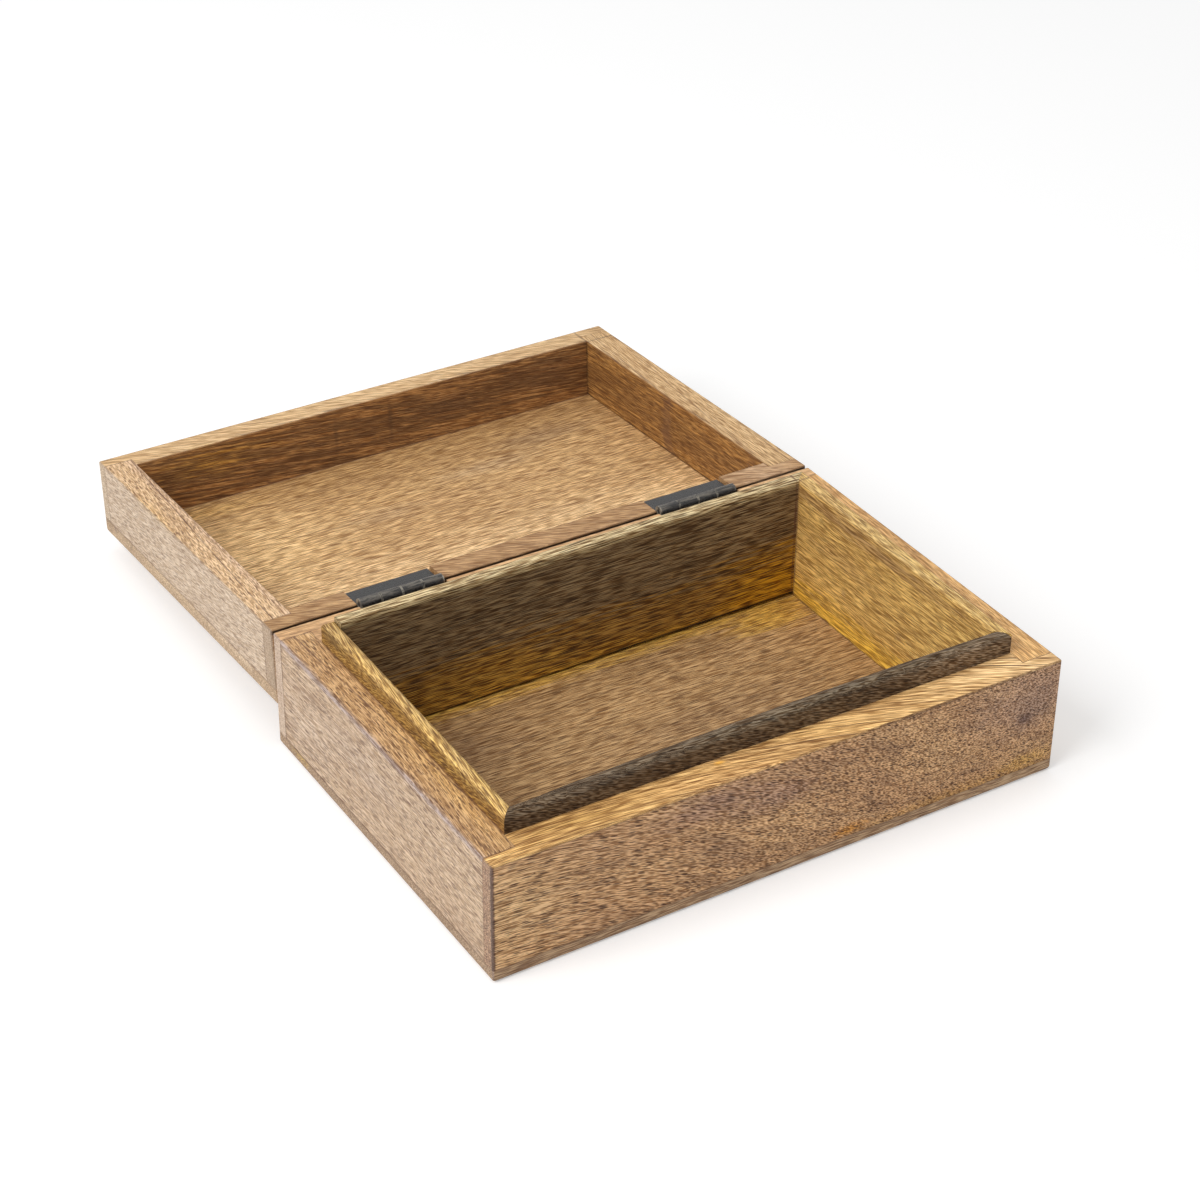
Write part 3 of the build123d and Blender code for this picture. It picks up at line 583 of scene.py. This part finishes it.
def make_hinge_wear_and_highlight():
    """Where a lacquered hinge is rubbed bright, and where a highlight is painted on it, in coordinates about its pin.
    """
    tree, start, end = new_group(
        "Hinge Wear And Highlight", numbers=["First End", "Knuckle", "Barrel", "Rings", "Rubbing"],
        gives=["Ring", "Rubbed", "Speckle", "Height", "Roughness"],
    )
    x, y, z = split(tree, start["Vector"])
    radius = calc(tree, "SQRT", calc(tree, "ADD", times(tree, y, y), times(tree, z, z)))
    on_barrel = ramp(tree, calc(tree, "DIVIDE", radius, start["Barrel"]), 1.08, 1.02)
    # Bright rings where the knuckles rub on each other: worn steel, and partly a painted highlight on the knuckles'
    # ends
    along = calc(tree, "DIVIDE", calc(tree, "SUBTRACT", x, start["First End"]), start["Knuckle"])
    ring = ramp(tree, calc(tree, "PINGPONG", along, 0.5), 0.065, 0.025)
    patchy = ramp(tree, noise(tree, start["Vector"], RING_BREAKS, detail=3.0), 0.36, 0.58)
    ring = times(tree, ring, patchy, start["Rings"], on_barrel)
    # Streaks along the top of the barrel where the lacquer is rubbed thin, and a painted highlight where that top
    # faces the lamps
    streak = ramp(tree, noise(tree, start["Vector"], RUBBED_AND_HIGHLIGHT_STREAKS, detail=4.0, rough=0.6), 0.4, 0.62)
    painted_highlight_top = ramp(tree, calc(tree, "DIVIDE", z, start["Barrel"]), 0.2, 0.9)
    rubbed = times(tree, streak, painted_highlight_top, start["Rubbing"], on_barrel)
    # Scattered dust and scratches in the lacquer
    dust = ramp(tree, noise(tree, start["Vector"], DUST, detail=3.0, rough=0.65), 0.42, 0.68)
    height = calc(tree, "MULTIPLY_ADD", ring, -0.4, dust)
    rough = calc(tree, "MULTIPLY_ADD", dust, 0.25, 0.32)
    hand_out(tree, end, Ring=ring, Rubbed=rubbed, Speckle=dust, Height=height, Roughness=rough)


def shared_effects():
    """Makes the node groups that the materials share."""
    for make in (
        make_fibre_bend, make_wood_tone, make_wood_pores, make_stain_and_shade_patch, make_dark_line, make_board_edge,
        make_hinge_wear_and_highlight,
    ):
        make()


def own_axes(name, about_pin=False):
    """The turn and shift to the axes in which a piece's places are given: the box's own, or, for a
    piece of the lid and where asked, those about the hinge pin. The lid's tilt is undone."""
    on_lid = "lid" in name
    turn = Euler((bpy.context.scene.card_box_studio.lid_tilt if on_lid else 0, 0, 0))
    shift = -(turn.to_matrix() @ PIN) if on_lid or about_pin else Vector((0, 0, 0))
    return turn, shift


def new_material(name, turn, shift):
    """A piece's own material: its tree, and the place of each point in the piece's axes."""
    material = bpy.data.materials.new(name)
    material.use_nodes = True
    set_material(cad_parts[name], material)
    tree = material.node_tree
    spot = add(tree, "ShaderNodeTexCoord").outputs["Object"]
    return tree, add(tree, "ShaderNodeMapping", {"Vector": spot, "Rotation": turn, "Location": shift}).outputs[0]


def set_material(piece, material):
    """Puts one material on every slot of a piece."""
    if not piece.material_slots:
        piece.data.materials.append(material)
    for slot in piece.material_slots:
        slot.material = material


def feed_shader(tree, color, surface, bump, **others):
    """Feeds the shader a colour, and the roughness and height that a surface gives."""
    inputs = tree.nodes["Principled BSDF"].inputs
    normal = add(tree, "ShaderNodeBump", {"Height": surface["Height"], **bump}).outputs[0]
    for title, value in {"Base Color": color, "Roughness": surface["Roughness"], "Normal": normal, **others}.items():
        feed(tree, inputs[title], value)


def board_corners(name, turn, shift):
    """The low and the high corner of a board in its own axes."""
    points = [turn.to_matrix() @ v.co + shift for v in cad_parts[name].data.vertices]
    return [Vector(pick(p[i] for p in points) for i in range(3)) for pick in (min, max)]


def side_mask(tree, place, corners, side, skin=PLAIN_BOARD["skin"]):
    """1 in the skin of one flat side of a board, such as +z, and 0 further in."""
    axis = "xyz".index(side[1])
    level = corners[side[0] == "+"][axis]
    depth = calc(tree, "ABSOLUTE", calc(tree, "SUBTRACT", split(tree, place)[axis], level))
    return ramp(tree, depth, (skin + SKIN_BLUR) * MM, (skin - SKIN_BLUR) * MM)


def follow_fibres(tree, place, corners, grain, seed, looks):
    """Coordinates whose X runs along a board's fibres."""
    along = place
    if grain == "Y":
        along = add(tree, "ShaderNodeMapping", {"Vector": place, "Rotation": (0, 0, -math.pi / 2)}).outputs[0]
    bends = {way: looks[way.lower()] for way in ("Slope", "Curve", "Twist")}
    for side, amount in looks["flat"]:
        mask = side_mask(tree, place, corners, side, looks["skin"])
        lost = scaled(tree, [amount * (axis == side[1]) for axis in "xyz"], mask)
        share = vec(tree, "SUBTRACT", (1, 1, 1), lost)
        bends = {way: vec(tree, "MULTIPLY", bend, share) for way, bend in bends.items()}
    return use(tree, "Fibre Bend", Vector=along, Seed=seed, Wander=looks["wander"] * MM, **bends)["Vector"]


def stain_and_shade(tree, color, place, fibres, seed, patches):
    """Lays a board's patches over its colour: stains, and some painted shade."""
    for index, (where, reach, tint, strength, ragged, soft) in enumerate(patches):
        mask = use(
            tree, "Stain And Shade Patch", Vector=place, Fibres=fibres, Centre=Vector(where) * MM, Reach=Vector(reach) * MM,
            Ragged=ragged, Soft=soft, Seed=seed + PATCH_SEED_STEP * index,
        )["Mask"]
        color = blend_colors(tree, times(tree, mask, strength), color, (*tint, 1))
    return color


def tint_sides(tree, color, place, corners, faces):
    """Tints flat sides of a board, and paints a sheen over some of them."""
    for side, tint, *sheen in faces:
        tinted = blend_colors(tree, 1.0, color, (*tint, 1), "MULTIPLY")
        if sheen:
            sheen_color, strength = sheen
            tinted = blend_colors(tree, strength, tinted, (*sheen_color, 1))
        color = blend_colors(tree, side_mask(tree, place, corners, side), color, tinted)
    return color


def rule_lines(tree, color, place, seed, lines):
    """Draws a board's thin dark lines: layers of the grain, seams and painted shade."""
    for index, (facing, through, width, wobble, tint, strength, broken) in enumerate(lines):
        facing = Vector(facing).normalized()
        mask = use(
            tree, "Dark Line", Vector=place, Facing=facing, Offset=facing.dot(Vector(through)) * MM,
            Width=width * MM, Wobble=wobble * MM, Broken=broken, Seed=seed + LINE_SEED_STEP * index,
        )["Mask"]
        color = blend_colors(tree, times(tree, mask, strength), color, (*tint, 1))
    return color


def tones_of(wood):
    """The light, warm, dark and pore colours of one wood of the settings."""
    woods = bpy.context.scene.card_box_woods
    return [(*getattr(woods, f"{wood}_{tone}"), 1) for tone in TONES]


def finish_board(name, seed, wood, grain="X", faces=(), patches=(), lines=(), **own_looks):
    """Gives one board its wood, with the painted sheen and shade that its entry holds: tone, patches, pores, sides,
    lines and arrises, in that order.
    """
    looks = {**PLAIN_BOARD, **own_looks}
    turn, shift = own_axes(name)
    corners = low, high = board_corners(name, turn, shift)
    tree, place = new_material(name, turn, shift)
    fibres = follow_fibres(tree, place, corners, grain, seed, looks)
    light, warm, dark, pore = tones_of(wood)
    color = use(
        tree, "Wood Tone", Vector=fibres, Seed=seed, Light=light, Warm=warm, Dark=dark,
        Clouds=CLOUDINESS, Bands=looks["bands"], Band_Width=looks["band_width"] * MM,
    )["Color"]
    color = stain_and_shade(tree, color, place, fibres, seed, patches)
    depth, fleck, growth = looks["pore_depth"], looks["fleck"], looks["growth"]
    if looks["calm"]:
        side, keep, growth_there = looks["calm"]
        mask = side_mask(tree, place, corners, side)
        depth = ramp(tree, mask, 0.0, 1.0, depth, depth * keep)
        fleck = ramp(tree, mask, 0.0, 1.0, fleck, fleck * keep)
        growth = ramp(tree, mask, 0.0, 1.0, growth, growth_there)
    surface = use(
        tree, "Wood Pores", Vector=fibres, Seed=seed, Color=color, Pore_Color=pore,
        Pore_Length=looks["pore_length"] * MM, Pore_Width=looks["pore_width"] * MM, Pores=looks["pores"],
        Pore_Depth=depth, Fibre=looks["fibre"], Fleck=fleck, Growth_Lines=growth,
        Growth_Spacing=looks["growth_spacing"] * MM, Growth_Turn=looks["growth_turn"],
    )
    color = tint_sides(tree, surface["Color"], place, corners, faces)
    color = rule_lines(tree, color, place, seed, lines)
    centred = vec(tree, "SUBTRACT", place, (low + high) / 2)
    edge = use(tree, "Board Edge", Vector=centred, Half_Size=(high - low) / 2, Width=EDGE_WIDTH * MM)["Mask"]
    color = blend_colors(tree, times(tree, edge, looks["edge_dark"]), color, pore)
    feed_shader(tree, color, surface, WOOD_BUMP, **{"Specular IOR Level": looks["gloss"]})


def finish_boards(*names):
    for name in names:
        finish_board(name, **BOARDS[name])


class CARDBOX_OT_base_walls(bpy.types.Operator):
    """Gives the four walls of the base their wood"""

    bl_idname = "card_box.base_walls"
    bl_label = "Base walls"

    def execute(self, context):
        finish_boards("base_front_wall", "base_back_wall", "base_left_wall", "base_right_wall")
        return {"FINISHED"}


class CARDBOX_OT_bottom_board(bpy.types.Operator):
    """Gives the bottom board its wood"""

    bl_idname = "card_box.bottom_board"
    bl_label = "Bottom board"

    def execute(self, context):
        finish_boards("bottom_board")
        return {"FINISHED"}


class CARDBOX_OT_linings(bpy.types.Operator):
    """Gives the four lining boards their wood"""

    bl_idname = "card_box.linings"
    bl_label = "Linings"

    def execute(self, context):
        finish_boards("lining_front", "lining_back", "lining_left", "lining_right")
        return {"FINISHED"}


class CARDBOX_OT_lid_walls(bpy.types.Operator):
    """Gives the four walls of the lid their wood"""

    bl_idname = "card_box.lid_walls"
    bl_label = "Lid walls"

    def execute(self, context):
        finish_boards("lid_front_wall", "lid_back_wall", "lid_left_wall", "lid_right_wall")
        return {"FINISHED"}


class CARDBOX_OT_lid_panel(bpy.types.Operator):
    """Gives the two boards of the lid's panel their wood"""

    bl_idname = "card_box.lid_panel"
    bl_label = "Lid panel"

    def execute(self, context):
        finish_boards("lid_panel_strip", "lid_panel_board")
        return {"FINISHED"}


class CARDBOX_OT_hinges(bpy.types.Operator):
    """Gives the two hinges their worn black lacquer and painted highlights"""

    bl_idname = "card_box.hinges"
    bl_label = "Hinges"

    def execute(self, context):
        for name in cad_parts:
            if name.startswith("hinge_") or name.endswith("_nails"):
                wear_and_highlight_lacquer(name, context.scene.card_box_hardware)
        return {"FINISHED"}


def wear_and_highlight_lacquer(name, hardware):
    """Black lacquer over steel, rubbed through on the barrel and round the ends of the knuckles, with a painted
    highlight along the top of the barrel and on the knuckles' ends.
    """
    tree, place = new_material(name, *own_axes(name, about_pin=True))
    left = min(v.co.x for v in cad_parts[name].data.vertices)
    wear_and_highlight = use(
        tree, "Hinge Wear And Highlight", Vector=place, First_End=left, Knuckle=hardware.knuckle_length,
        Barrel=hardware.barrel_radius, Rings=1.0 if name.endswith("_leaf") else 0.0, Rubbing=hardware.rubbing,
    )
    color = blend_colors(tree, wear_and_highlight["Speckle"], (*hardware.lacquer, 1), (*hardware.lacquer_dull, 1))
    color = blend_colors(tree, wear_and_highlight["Rubbed"], color, (*hardware.rubbed, 1))
    color = blend_colors(tree, wear_and_highlight["Ring"], color, (*hardware.steel, 1))
    feed_shader(tree, color, wear_and_highlight, LACQUER_BUMP, Metallic=times(tree, wear_and_highlight["Ring"], RING_METAL))


class CARDBOX_OT_stage(bpy.types.Operator):
    """Lays the pale floor and sets the lamps, the world and the camera"""

    bl_idname = "card_box.stage"
    bl_label = "Studio"

    def execute(self, context):
        studio = context.scene.card_box_studio
        make_floor(studio)
        make_lamps(studio)
        make_world(studio)
        make_camera(studio)
        return {"FINISHED"}


def make_floor(studio):
    """A plain floor of the stage, which the camera sees a little brighter than it is lit."""
    bpy.ops.object.select_all(action="DESELECT")
    bpy.ops.mesh.primitive_plane_add(size=studio.floor_size, location=(0, 0, 0))
    floor = bpy.context.object
    floor.name = "floor"
    material = bpy.data.materials.new("pale_floor")
    material.use_nodes = True
    tree = material.node_tree
    shader = tree.nodes["Principled BSDF"]
    shader.inputs["Base Color"].default_value = (*studio.floor_color, 1)
    shader.inputs["Roughness"].default_value = FLOOR_ROUGHNESS
    shader.inputs["Specular IOR Level"].default_value = 0.0
    shader.inputs["Emission Color"].default_value = (1, 1, 1, 1)
    seen = add(tree, "ShaderNodeLightPath").outputs["Is Camera Ray"]
    tree.links.new(times(tree, seen, studio.floor_lift), shader.inputs["Emission Strength"])
    set_material(floor, material)


def aim(obj, place):
    """Puts a lamp at a place, pointed at the box."""
    toward = BOX_MIDDLE - Vector(place)
    obj.matrix_world = Matrix.Translation(place) @ toward.to_track_quat("-Z", "Y").to_matrix().to_4x4()


def make_lamps(studio):
    """Two square softboxes."""
    lamps = (
        ("left_softbox", studio.key_place, studio.key_power, studio.key_size),
        ("top_softbox", studio.top_place, studio.top_power, studio.top_size),
    )
    for name, place, power, size in lamps:
        lamp = bpy.data.lights.new(name, "AREA")
        lamp.shape = "SQUARE"
        lamp.size = size
        lamp.energy = power
        obj = bpy.data.objects.new(name, lamp)
        bpy.context.scene.collection.objects.link(obj)
        aim(obj, place)


def make_world(studio):
    """A white room, seen white by the camera and in reflections and dimmer as a light."""
    world = bpy.data.worlds.new("white_studio")
    bpy.context.scene.world = world
    world.use_nodes = True
    tree = world.node_tree
    background = tree.nodes["Background"]
    path = add(tree, "ShaderNodeLightPath").outputs
    direct = calc(tree, "MAXIMUM", path["Is Camera Ray"], path["Is Transmission Ray"])
    direct = calc(tree, "MAXIMUM", direct, path["Is Glossy Ray"])
    background.inputs["Color"].default_value = (1, 1, 1, 1)
    values = {"Value": direct, "To Min": studio.world_light, "To Max": 1.0}
    strength = add(tree, "ShaderNodeMapRange", values).outputs[0]
    tree.links.new(strength, background.inputs["Strength"])


def make_camera(studio):
    """The camera, turned from its heading, its dip and its roll."""
    turn, lift, roll = studio.camera_turn, studio.camera_lift, studio.camera_roll
    ahead = Vector((math.sin(turn) * math.cos(lift), math.cos(turn) * math.cos(lift), -math.sin(lift)))
    side = Vector((math.cos(turn), -math.sin(turn), 0))
    down = ahead.cross(side)
    across = math.cos(roll) * side + math.sin(roll) * down
    up = -ahead.cross(across)
    camera = bpy.data.cameras.new("camera")
    camera.sensor_width = SENSOR_WIDTH
    camera.lens = studio.camera_lens
    camera.shift_x, camera.shift_y = studio.camera_shift
    camera.clip_start = NEAR_LIMIT
    obj = bpy.data.objects.new("camera", camera)
    bpy.context.scene.collection.objects.link(obj)
    rotation = Matrix((across, up, -ahead)).transposed().to_4x4()
    obj.matrix_world = Matrix.Translation(studio.camera_place) @ rotation
    bpy.context.scene.camera = obj


# What Blender is told of a setting that is a colour, a place, an angle or a length
COLOR = {"subtype": "COLOR", "min": 0, "max": 1}
PLACE = {"subtype": "TRANSLATION", "unit": "LENGTH"}
ANGLE = {"subtype": "ANGLE"}
LENGTH = {"unit": "LENGTH"}


def setting(name, description, default, **kind):
    """A setting of one number, or of several where the default is a tuple."""
    make = FloatVectorProperty if isinstance(default, tuple) else FloatProperty
    return make(name=name, description=description, default=default, **kind)


class CardBoxStudio(bpy.types.PropertyGroup):
    """Camera, lamps and floor"""

    lid_tilt: setting("Lid tilt", "How far past flat the lid rests", math.radians(3), **ANGLE)
    camera_place: setting("Camera place", "Where the camera stands", (-0.35022, -0.53435, 0.46176), **PLACE)
    camera_turn: setting("Camera turn", "Heading to the right of straight back", math.radians(32.693), **ANGLE)
    camera_lift: setting("Camera lift", "How far the camera looks down", math.radians(33.315), **ANGLE)
    camera_roll: setting("Camera roll", "Roll about the line of sight", math.radians(-1.131), **ANGLE)
    camera_lens: setting("Lens", "Focal length in millimetres", 85.996, min=1.0)
    camera_shift: setting("Lens shift", "Shift of the frame", (-0.0366, 0.02366), size=2)
    floor_size: setting("Floor size", "Side of the floor", 30.0, **LENGTH)
    floor_color: setting("Floor colour", "Colour of the floor", (0.8, 0.8, 0.8), **COLOR)
    floor_lift: setting("Floor lift", "Brightness that the camera sees above the lit floor", 0.3)
    key_place: setting("Left lamp place", "Where the left lamp hangs", (-1.1, -0.15, 1.05), **PLACE)
    key_power: setting("Left lamp power", "Power of the left lamp", 15.0, unit="POWER")
    key_size: setting("Left lamp size", "Side of the left lamp", 0.9, **LENGTH)
    top_place: setting("Top lamp place", "Where the top lamp hangs", (0.1, 0.2, 1.6), **PLACE)
    top_power: setting("Top lamp power", "Power of the top lamp", 4.0, unit="POWER")
    top_size: setting("Top lamp size", "Side of the top lamp", 1.4, **LENGTH)
    world_light: setting("Room light", "Light from the white room on the box", 0.5, min=0.0)


class CardBoxHardware(bpy.types.PropertyGroup):
    """Sizes and colours of the hinges"""

    knuckle_length: setting("Knuckle length", "Length of one knuckle", 0.00645, **LENGTH)
    barrel_radius: setting("Barrel radius", "Radius of the rolled knuckles", 0.0017, **LENGTH)
    # Rubbing also sets how strong the painted highlight along the top of the barrel is
    rubbing: setting("Rubbing", "How far the lacquer is rubbed off the barrel", 0.7, min=0, max=1, subtype="FACTOR")
    lacquer: setting("Lacquer", "Colour of the black lacquer", (0.011, 0.0105, 0.0105), **COLOR)
    lacquer_dull: setting("Dull lacquer", "Colour of the lacquer where it is scuffed", (0.040, 0.036, 0.034), **COLOR)
    # The rubbed colour is also the colour of the painted highlight along the top of the barrel
    rubbed: setting(
        "Rubbed lacquer", "Colour of the barrel where the lacquer is rubbed thin", (0.21, 0.185, 0.15), **COLOR
    )
    # Bare steel is also the colour of the painted highlight on the knuckles' ends
    steel: setting("Bare steel", "Colour where the lacquer is gone", (0.36, 0.33, 0.275), **COLOR)


# The light, warm, dark and pore colours of each wood, after the boards that have it
WOODS = {
    "front": ("Front wall", (0.651, 0.37, 0.167), (0.543, 0.289, 0.131),
              (0.253, 0.132, 0.066), (0.0652, 0.028, 0.0165)),
    "side": ("Left wall", (0.647, 0.391, 0.177), (0.547, 0.316, 0.14),
             (0.362, 0.196, 0.0931), (0.142, 0.0652, 0.0326)),
    "gold": ("Back and right walls", (0.882, 0.533, 0.207), (0.764, 0.427, 0.16),
             (0.549, 0.301, 0.113), (0.216, 0.107, 0.047)),
    "bottom": ("Bottom", (0.527, 0.308, 0.132), (0.431, 0.246, 0.101),
               (0.258, 0.142, 0.0568), (0.115, 0.0569, 0.0262)),
    "dark": ("Front lining", (0.178, 0.117, 0.0643), (0.108, 0.0658, 0.0355),
             (0.0495, 0.0276, 0.0154), (0.0215, 0.0127, 0.00768)),
    "smoke": ("Back lining", (0.284, 0.184, 0.0856), (0.189, 0.121, 0.0558),
              (0.0803, 0.0464, 0.0226), (0.0331, 0.0174, 0.0072)),
    "olive": ("Side linings", (0.749, 0.47, 0.141), (0.624, 0.357, 0.091),
              (0.384, 0.207, 0.0637), (0.164, 0.08, 0.0273)),
    "lid": ("Lid walls", (0.798, 0.532, 0.27), (0.703, 0.442, 0.21),
            (0.513, 0.304, 0.13), (0.21, 0.105, 0.0466)),
    "rose": ("Lid's hinge wall", (0.508, 0.285, 0.124), (0.442, 0.244, 0.0989),
             (0.32, 0.171, 0.0702), (0.188, 0.0921, 0.0413)),
    "pale": ("Lid's left wall", (0.784, 0.524, 0.291), (0.686, 0.441, 0.235),
             (0.51, 0.31, 0.16), (0.196, 0.097, 0.0517)),
    "panel": ("Lid panel", (0.702, 0.423, 0.178), (0.589, 0.342, 0.144),
              (0.399, 0.221, 0.0846), (0.19, 0.0901, 0.0381)),
}
TONES = ("light", "warm", "dark", "pore")


def tone_settings():
    """One colour setting for each tone of each wood."""
    settings = {}
    for wood, (boards, *colors) in WOODS.items():
        for tone, color in zip(TONES, colors):
            settings[f"{wood}_{tone}"] = setting(f"{boards}, {tone}", f"The {tone} colour", color, **COLOR)
    return settings


class CardBoxWoods(bpy.types.PropertyGroup):
    """The colours of the box's woods"""

    __annotations__ = tone_settings()


class CARDBOX_PT_panel(bpy.types.Panel):
    """Lists the steps and the studio's settings"""

    bl_idname = "CARDBOX_PT_panel"
    bl_label = "Card Box"
    bl_space_type = "VIEW_3D"
    bl_region_type = "UI"
    bl_category = "Card Box"

    def draw(self, context):
        for step in STEPS:
            self.layout.operator(step.bl_idname)
        for group in SETTINGS:
            settings = getattr(context.scene, group)
            for name in settings.__annotations__:
                self.layout.prop(settings, name)


STEPS = (
    CARDBOX_OT_base_walls,
    CARDBOX_OT_bottom_board,
    CARDBOX_OT_linings,
    CARDBOX_OT_lid_walls,
    CARDBOX_OT_lid_panel,
    CARDBOX_OT_hinges,
    CARDBOX_OT_stage,
)
SETTINGS = {
    "card_box_woods": CardBoxWoods,
    "card_box_hardware": CardBoxHardware,
    "card_box_studio": CardBoxStudio,
}
CLASSES = (*SETTINGS.values(), *STEPS, CARDBOX_PT_panel)


def register():
    for cls in CLASSES:
        bpy.utils.register_class(cls)
    for group, cls in SETTINGS.items():
        setattr(bpy.types.Scene, group, PointerProperty(type=cls))


def unregister():
    for group in SETTINGS:
        delattr(bpy.types.Scene, group)
    for cls in reversed(CLASSES):
        bpy.utils.unregister_class(cls)


def main():
    register()
    bpy.context.scene.view_settings.view_transform = "Standard"
    shared_effects()
    for step in STEPS:
        area, action = step.bl_idname.split(".")
        getattr(getattr(bpy.ops, area), action)()


if __name__ == "__main__":
    main()
